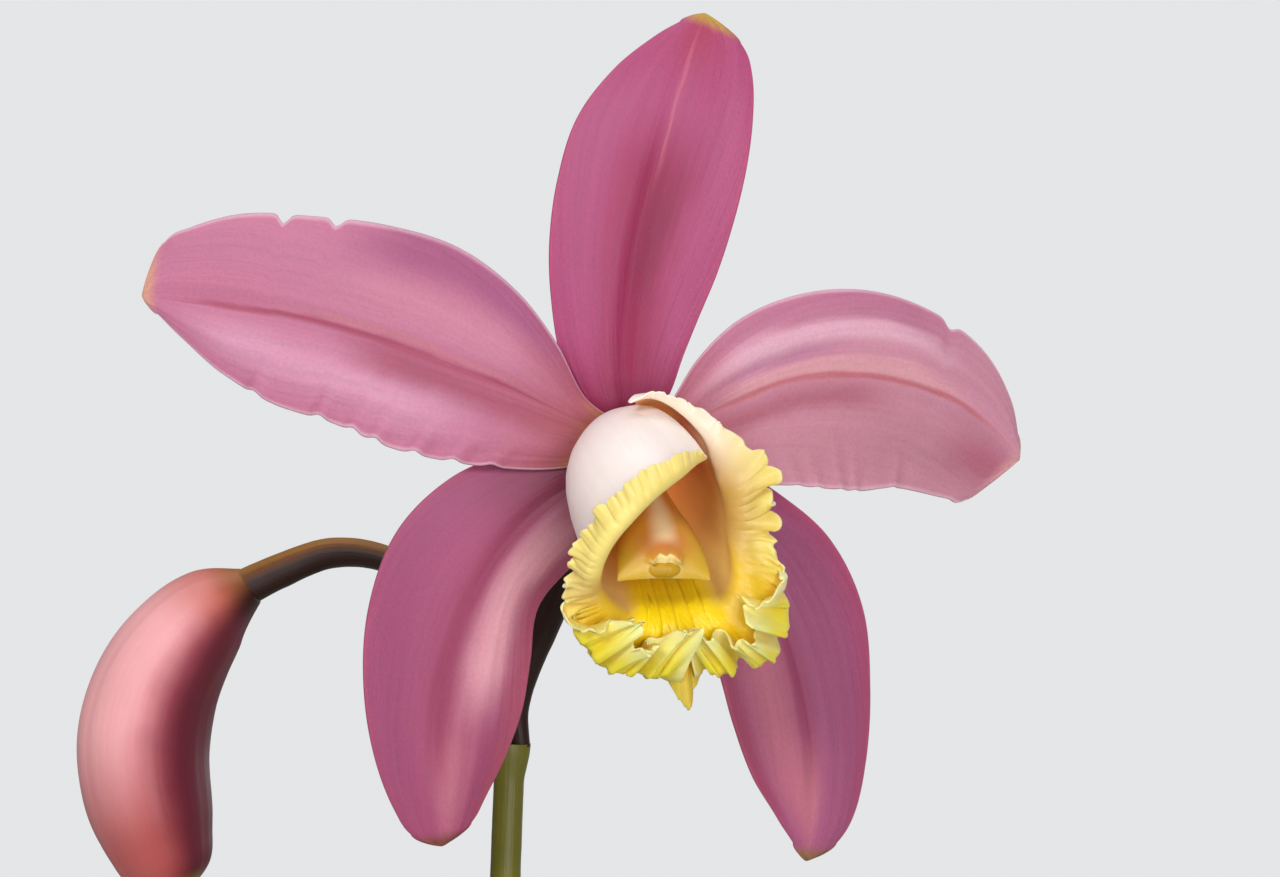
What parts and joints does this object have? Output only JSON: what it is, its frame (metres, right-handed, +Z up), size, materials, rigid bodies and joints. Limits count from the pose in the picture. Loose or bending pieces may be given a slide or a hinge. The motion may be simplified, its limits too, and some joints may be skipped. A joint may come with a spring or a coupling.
{
  "type": "potted cattleya harrisoniana orchid",
  "caption": "Bifoliate orchid plant in a clay pot of bark, with jointed canes, leathery leaves, one open pink bloom with a ruffled yellow lip, and a hanging bud.",
  "frame": {"origin": "centre of the pot's foot, on the surface that it stands on", "axes": "+Z up along the pot's axis; -Y is the side that the bloom faces; +X is to the right as the bloom is looked at"},
  "size_m": [0.229, 0.1994, 0.4724],
  "materials": {
    "clay": "matte",
    "bark": "matte",
    "rhizome": "satin",
    "root": "matte",
    "cane": "satin",
    "shoot": "satin",
    "husk": "matte",
    "leaf": "satin",
    "peduncle": "satin",
    "pedicel": "satin",
    "bud": "satin",
    "sepal": "satin",
    "petal": "satin",
    "lip": "satin",
    "column": "satin",
    "anther": "satin"
  },
  "bodies": {
    "root": {"pot": "clay", "bark_mix": "bark", "rhizome": "rhizome", "cane_1": "cane", "husk_1": "husk", "cane_2": "cane", "husk_2": "husk", "cane_3": "cane", "husk_3": "husk", "cane_4": "cane", "husk_4": "husk", "new_shoot": "shoot", "root_1": "root", "root_2": "root", "root_3": "root", "root_4": "root", "root_5": "root", "leaf_1": "leaf", "leaf_2_rear": "leaf", "leaf_2_front": "leaf", "leaf_3_rear": "leaf", "leaf_3_front": "leaf", "leaf_4_rear": "leaf", "leaf_4_front": "leaf", "flower_stalk": "peduncle", "spathe": "husk", "bloom_stem": "pedicel", "bud_stem": "pedicel", "bud": "bud", "dorsal_sepal": "sepal", "sepal_left": "sepal", "sepal_right": "sepal", "petal_left": "petal", "petal_right": "petal", "lip": "lip", "column": "column", "anther_cap": "anther"}
  },
  "joints": []
}
